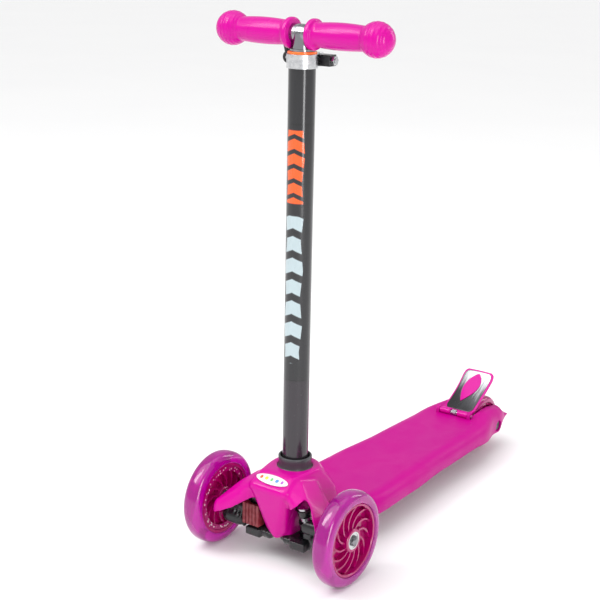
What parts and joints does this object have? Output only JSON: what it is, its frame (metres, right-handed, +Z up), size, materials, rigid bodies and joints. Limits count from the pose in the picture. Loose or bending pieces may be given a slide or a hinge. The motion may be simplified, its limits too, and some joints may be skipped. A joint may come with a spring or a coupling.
{
  "type": "kick scooter",
  "caption": "Three-wheeled lean-to-steer kick scooter for a small child, with lighted wheels, a telescopic T-bar and a rear foot brake.",
  "frame": {"origin": "on the ground under the middle of the scooter", "axes": "+X forward, +Y to the rider's left, +Z up along the steering tube"},
  "size_m": [0.592, 0.243, 0.6705],
  "materials": {
    "pink_gloss": "glossy moulded plastic",
    "pink_grip": "soft satin rubber",
    "black_plastic": "semi-gloss moulded plastic",
    "socket_plastic": "satin moulded plastic",
    "tie_plastic": "satin moulded plastic",
    "tube_paint": "dark grey glossy coating",
    "dark_chrome": "polished dark plating",
    "aluminium": "satin",
    "steel": "zinc plated",
    "magnet": "dull",
    "orange_plastic": "glossy moulded plastic",
    "badge": "glossy printed plate",
    "buffer_rubber": "dull ribbed rubber",
    "wheel_clear": "clear cast polyurethane",
    "wheel_core": "clear tinted plastic",
    "light_board": "circuit ring with small lights"
  },
  "bodies": {
    "chassis": {"deck": "pink_gloss", "deck_screws": "steel", "nose_cover": "pink_gloss", "nose_badge": "badge", "nose_screws": "steel", "truck_base": "black_plastic", "truck_bolts": "steel", "kingpins": "steel", "kingpin_nuts": "steel", "centring_springs": "steel", "column_socket": "socket_plastic", "steering_tube": "tube_paint", "clamp_band": "aluminium", "clamp_bolt": "steel", "clamp_blocks": "black_plastic", "clamp_washer": "steel", "clamp_nut": "steel", "clamp_pivot": "steel", "seal_ring": "orange_plastic", "rear_axle": "steel", "rear_axle_nut": "steel", "rear_spacers": "steel", "brake_pin": "steel", "brake_spring": "steel"},
    "arm_left": {"swing_arm_left": "black_plastic", "tie_pin_left": "steel", "axle_bolt_left": "steel", "front_spacer_left": "steel", "front_magnet_left": "magnet"},
    "arm_right": {"swing_arm_right": "black_plastic", "steering_buffer": "buffer_rubber", "tie_pin_right": "steel", "axle_bolt_right": "steel", "front_spacer_right": "steel", "front_magnet_right": "magnet"},
    "tie": {"tie_rod": "tie_plastic"},
    "front_wheel_left": {"front_tyre_left": "wheel_clear", "front_hub_left": "wheel_core", "front_lights_left": "light_board", "front_bearings_left": "steel"},
    "front_wheel_right": {"front_tyre_right": "wheel_clear", "front_hub_right": "wheel_core", "front_lights_right": "light_board", "front_bearings_right": "steel"},
    "rear_wheel_left": {"rear_tyre_left": "wheel_clear", "rear_hub_left": "wheel_core", "rear_lights_left": "light_board", "rear_bearings_left": "steel"},
    "rear_wheel_right": {"rear_tyre_right": "wheel_clear", "rear_hub_right": "wheel_core", "rear_lights_right": "light_board", "rear_bearings_right": "steel"},
    "foot_brake": {"brake_plate": "pink_gloss", "brake_skin": "aluminium", "brake_screw": "steel"},
    "handlebar": {"t_bar": "dark_chrome", "grip_left": "pink_grip", "grip_right": "pink_grip"},
    "lever": {"clamp_lever": "black_plastic"}
  },
  "joints": [
    {"name": "steer_left", "type": "hinge", "parent": "chassis", "child": "arm_left", "pos_m": [0.228, 0.036, 0.058], "axis": [0.342, 0, 0.9397], "range_deg": [-10, 10], "stiffness_Nm_per_rad": 6},
    {"name": "steer_right", "type": "hinge", "parent": "chassis", "child": "arm_right", "pos_m": [0.228, -0.036, 0.058], "axis": [0.342, 0, 0.9397], "range_deg": [-10, 10], "stiffness_Nm_per_rad": 6},
    {"name": "tie_pivot", "type": "hinge", "parent": "arm_left", "child": "tie", "pos_m": [0.20254, 0.036, 0.06407], "axis": [0.342, 0, 0.9397], "range_deg": [-10, 10]},
    {"name": "front_spin_left", "type": "hinge", "parent": "arm_left", "child": "front_wheel_left", "pos_m": [0.236, 0.099, 0.06], "axis": [0, 1, 0], "continuous": true},
    {"name": "front_spin_right", "type": "hinge", "parent": "arm_right", "child": "front_wheel_right", "pos_m": [0.236, -0.099, 0.06], "axis": [0, 1, 0], "continuous": true},
    {"name": "rear_spin_left", "type": "hinge", "parent": "chassis", "child": "rear_wheel_left", "pos_m": [-0.254, 0.012, 0.04], "axis": [0, 1, 0], "continuous": true},
    {"name": "rear_spin_right", "type": "hinge", "parent": "chassis", "child": "rear_wheel_right", "pos_m": [-0.254, -0.012, 0.04], "axis": [0, 1, 0], "continuous": true},
    {"name": "brake_press", "type": "hinge", "parent": "chassis", "child": "foot_brake", "pos_m": [-0.197, 0, 0.068], "axis": [0, -1, 0], "range_deg": [0, 4.4], "stiffness_Nm_per_rad": 3, "springref_deg": -5.73},
    {"name": "bar_height", "type": "slide", "parent": "chassis", "child": "handlebar", "axis": [0, 0, 1], "range_m": [0, 0.2]},
    {"name": "lever_swing", "type": "hinge", "parent": "chassis", "child": "lever", "pos_m": [0.18275, -0.0343, 0.6195], "axis": [1, 0, 0], "range_deg": [0, 100]}
  ],
  "couplings": [
    {"joint": "steer_right", "follows": "steer_left", "ratio": 1},
    {"joint": "tie_pivot", "follows": "steer_left", "ratio": -1}
  ]
}
